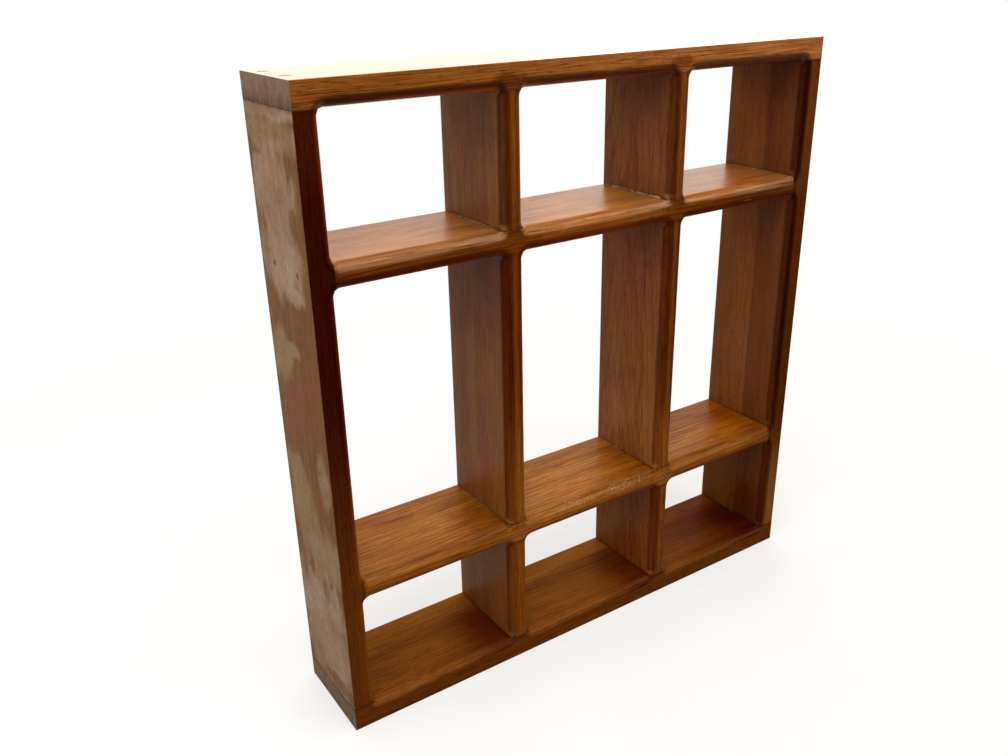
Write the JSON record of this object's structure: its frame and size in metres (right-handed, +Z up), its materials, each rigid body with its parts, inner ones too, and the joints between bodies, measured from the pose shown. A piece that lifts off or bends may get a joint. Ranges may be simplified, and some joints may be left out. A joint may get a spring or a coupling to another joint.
{
  "type": "shelving unit",
  "caption": "Free-standing open shelving unit of solid hardwood boards: a grid of compartments with no back, quarter-round front edges and dowelled butt joints.",
  "frame": {"origin": "under the middle of the base, on the surface that the unit stands on", "axes": "+X to the right as seen from the front, +Y from the front to the back, +Z up"},
  "size_m": [0.577, 0.101, 0.6],
  "materials": {
    "top_board_wood": "satin oiled hardwood, long grain across",
    "bottom_board_wood": "satin oiled hardwood, long grain across",
    "side_board_wood": "satin oiled hardwood, long grain upright",
    "shelf_wood": "satin oiled hardwood, long grain across",
    "divider_wood": "satin oiled hardwood, long grain upright",
    "dowel_wood": "planed flush where an end shows"
  },
  "bodies": {
    "root": {"top_board": "top_board_wood", "bottom_board": "bottom_board_wood", "left_side_board": "side_board_wood", "right_side_board": "side_board_wood", "lower_shelf": "shelf_wood", "upper_shelf": "shelf_wood", "lower_left_divider": "divider_wood", "lower_right_divider": "divider_wood", "middle_left_divider": "divider_wood", "middle_right_divider": "divider_wood", "upper_left_divider": "divider_wood", "upper_right_divider": "divider_wood", "top_left_corner_dowels": "dowel_wood", "top_right_corner_dowels": "dowel_wood", "bottom_left_corner_dowels": "dowel_wood", "bottom_right_corner_dowels": "dowel_wood", "lower_shelf_left_end_dowels": "dowel_wood", "lower_shelf_right_end_dowels": "dowel_wood", "upper_shelf_left_end_dowels": "dowel_wood", "upper_shelf_right_end_dowels": "dowel_wood", "lower_left_crossing_dowels": "dowel_wood", "lower_right_crossing_dowels": "dowel_wood", "upper_left_crossing_dowels": "dowel_wood", "upper_right_crossing_dowels": "dowel_wood", "left_divider_foot_dowels": "dowel_wood", "left_divider_head_dowels": "dowel_wood", "right_divider_foot_dowels": "dowel_wood", "right_divider_head_dowels": "dowel_wood"}
  },
  "joints": []
}
